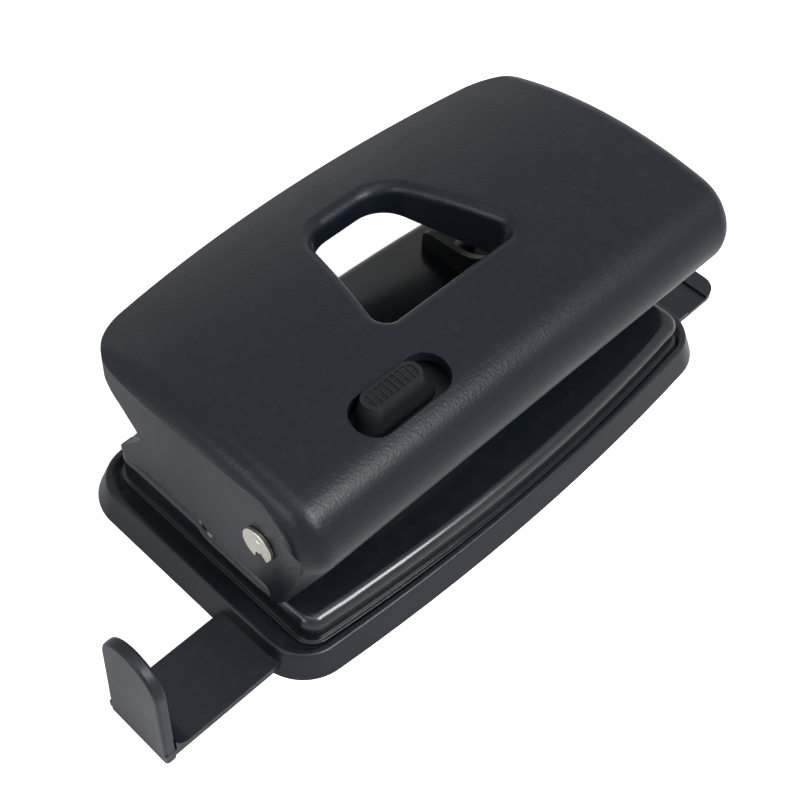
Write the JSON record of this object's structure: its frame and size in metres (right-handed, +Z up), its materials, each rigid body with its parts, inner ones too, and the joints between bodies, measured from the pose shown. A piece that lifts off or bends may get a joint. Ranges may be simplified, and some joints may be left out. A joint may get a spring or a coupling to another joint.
{
  "type": "two-hole desk paper punch",
  "caption": "Desk punch: hinged handle over a steel bed, two coupled punch pins, lock slide, sliding paper guide and a removable chip tray.",
  "frame": {"origin": "centre of the base on the table, at the height of its rest face", "axes": "+X along the long side, from the guide tab at the left toward the strip's free end; +Y from the paper side to the side that is pressed; +Z up"},
  "size_m": [0.165, 0.0732, 0.0518],
  "materials": {
    "tray": "semi-matt black moulded plastic",
    "plate": "gloss black paint on pressed steel",
    "steel": "bright steel, lightly brushed",
    "bracket": "blackened pressed steel",
    "clip": "nickel plated spring steel, slightly warm",
    "spring": "drawn spring wire",
    "handle": "satin charcoal black plastic with a fine moulded grain",
    "button": "satin black plastic",
    "guide": "semi-matt black moulded plastic"
  },
  "bodies": {
    "base": {"bed_plate": "plate", "die_strip": "steel", "die_rivets": "steel", "bracket_left": "bracket", "bracket_right": "bracket", "bracket_rivets": "steel", "punch_guide_left": "steel", "punch_guide_right": "steel", "hinge_rod": "steel", "e_clip_left": "clip", "e_clip_right": "clip", "punch_spring_left": "spring", "punch_spring_right": "spring"},
    "tray": {"chip_tray": "tray"},
    "guide": {"paper_guide": "guide"},
    "handle": {"handle_shell": "handle", "inner_lever": "bracket", "lever_screws": "steel", "lock_retainer": "bracket", "retainer_screws": "steel"},
    "lock": {"lock_slide": "button"},
    "left_punch": {"punch_pin_left": "steel", "punch_ring_left": "steel"},
    "right_punch": {"punch_pin_right": "steel", "punch_ring_right": "steel"}
  },
  "joints": [
    {"name": "handle_hinge", "type": "hinge", "parent": "base", "child": "handle", "pos_m": [0, -0.0172, 0.0305], "axis": [1, 0, 0], "range_deg": [0, 14]},
    {"name": "left_punch_slide", "type": "slide", "parent": "base", "child": "left_punch", "axis": [0, 0, 1], "range_m": [0, 0.0029], "stiffness_N_per_m": 20, "springref_m": 0.004, "deforming": ["punch_spring_left"]},
    {"name": "right_punch_slide", "type": "slide", "parent": "base", "child": "right_punch", "axis": [0, 0, 1], "range_m": [0, 0.0029], "stiffness_N_per_m": 20, "springref_m": 0.004, "deforming": ["punch_spring_right"]},
    {"name": "lock_slide_joint", "type": "slide", "parent": "handle", "child": "lock", "axis": [1, 0, 0], "range_m": [0, 0.0026]},
    {"name": "tray_release", "type": "slide", "parent": "base", "child": "tray", "axis": [0, 0, -1], "range_m": [0, 0.012]},
    {"name": "guide_slide", "type": "slide", "parent": "tray", "child": "guide", "axis": [-1, 0, 0], "range_m": [-0.0195, 0.0625]}
  ],
  "couplings": [
    {"joint": "left_punch_slide", "follows": "handle_hinge", "m_per_rad": 0.0112},
    {"joint": "right_punch_slide", "follows": "handle_hinge", "m_per_rad": 0.0112}
  ]
}
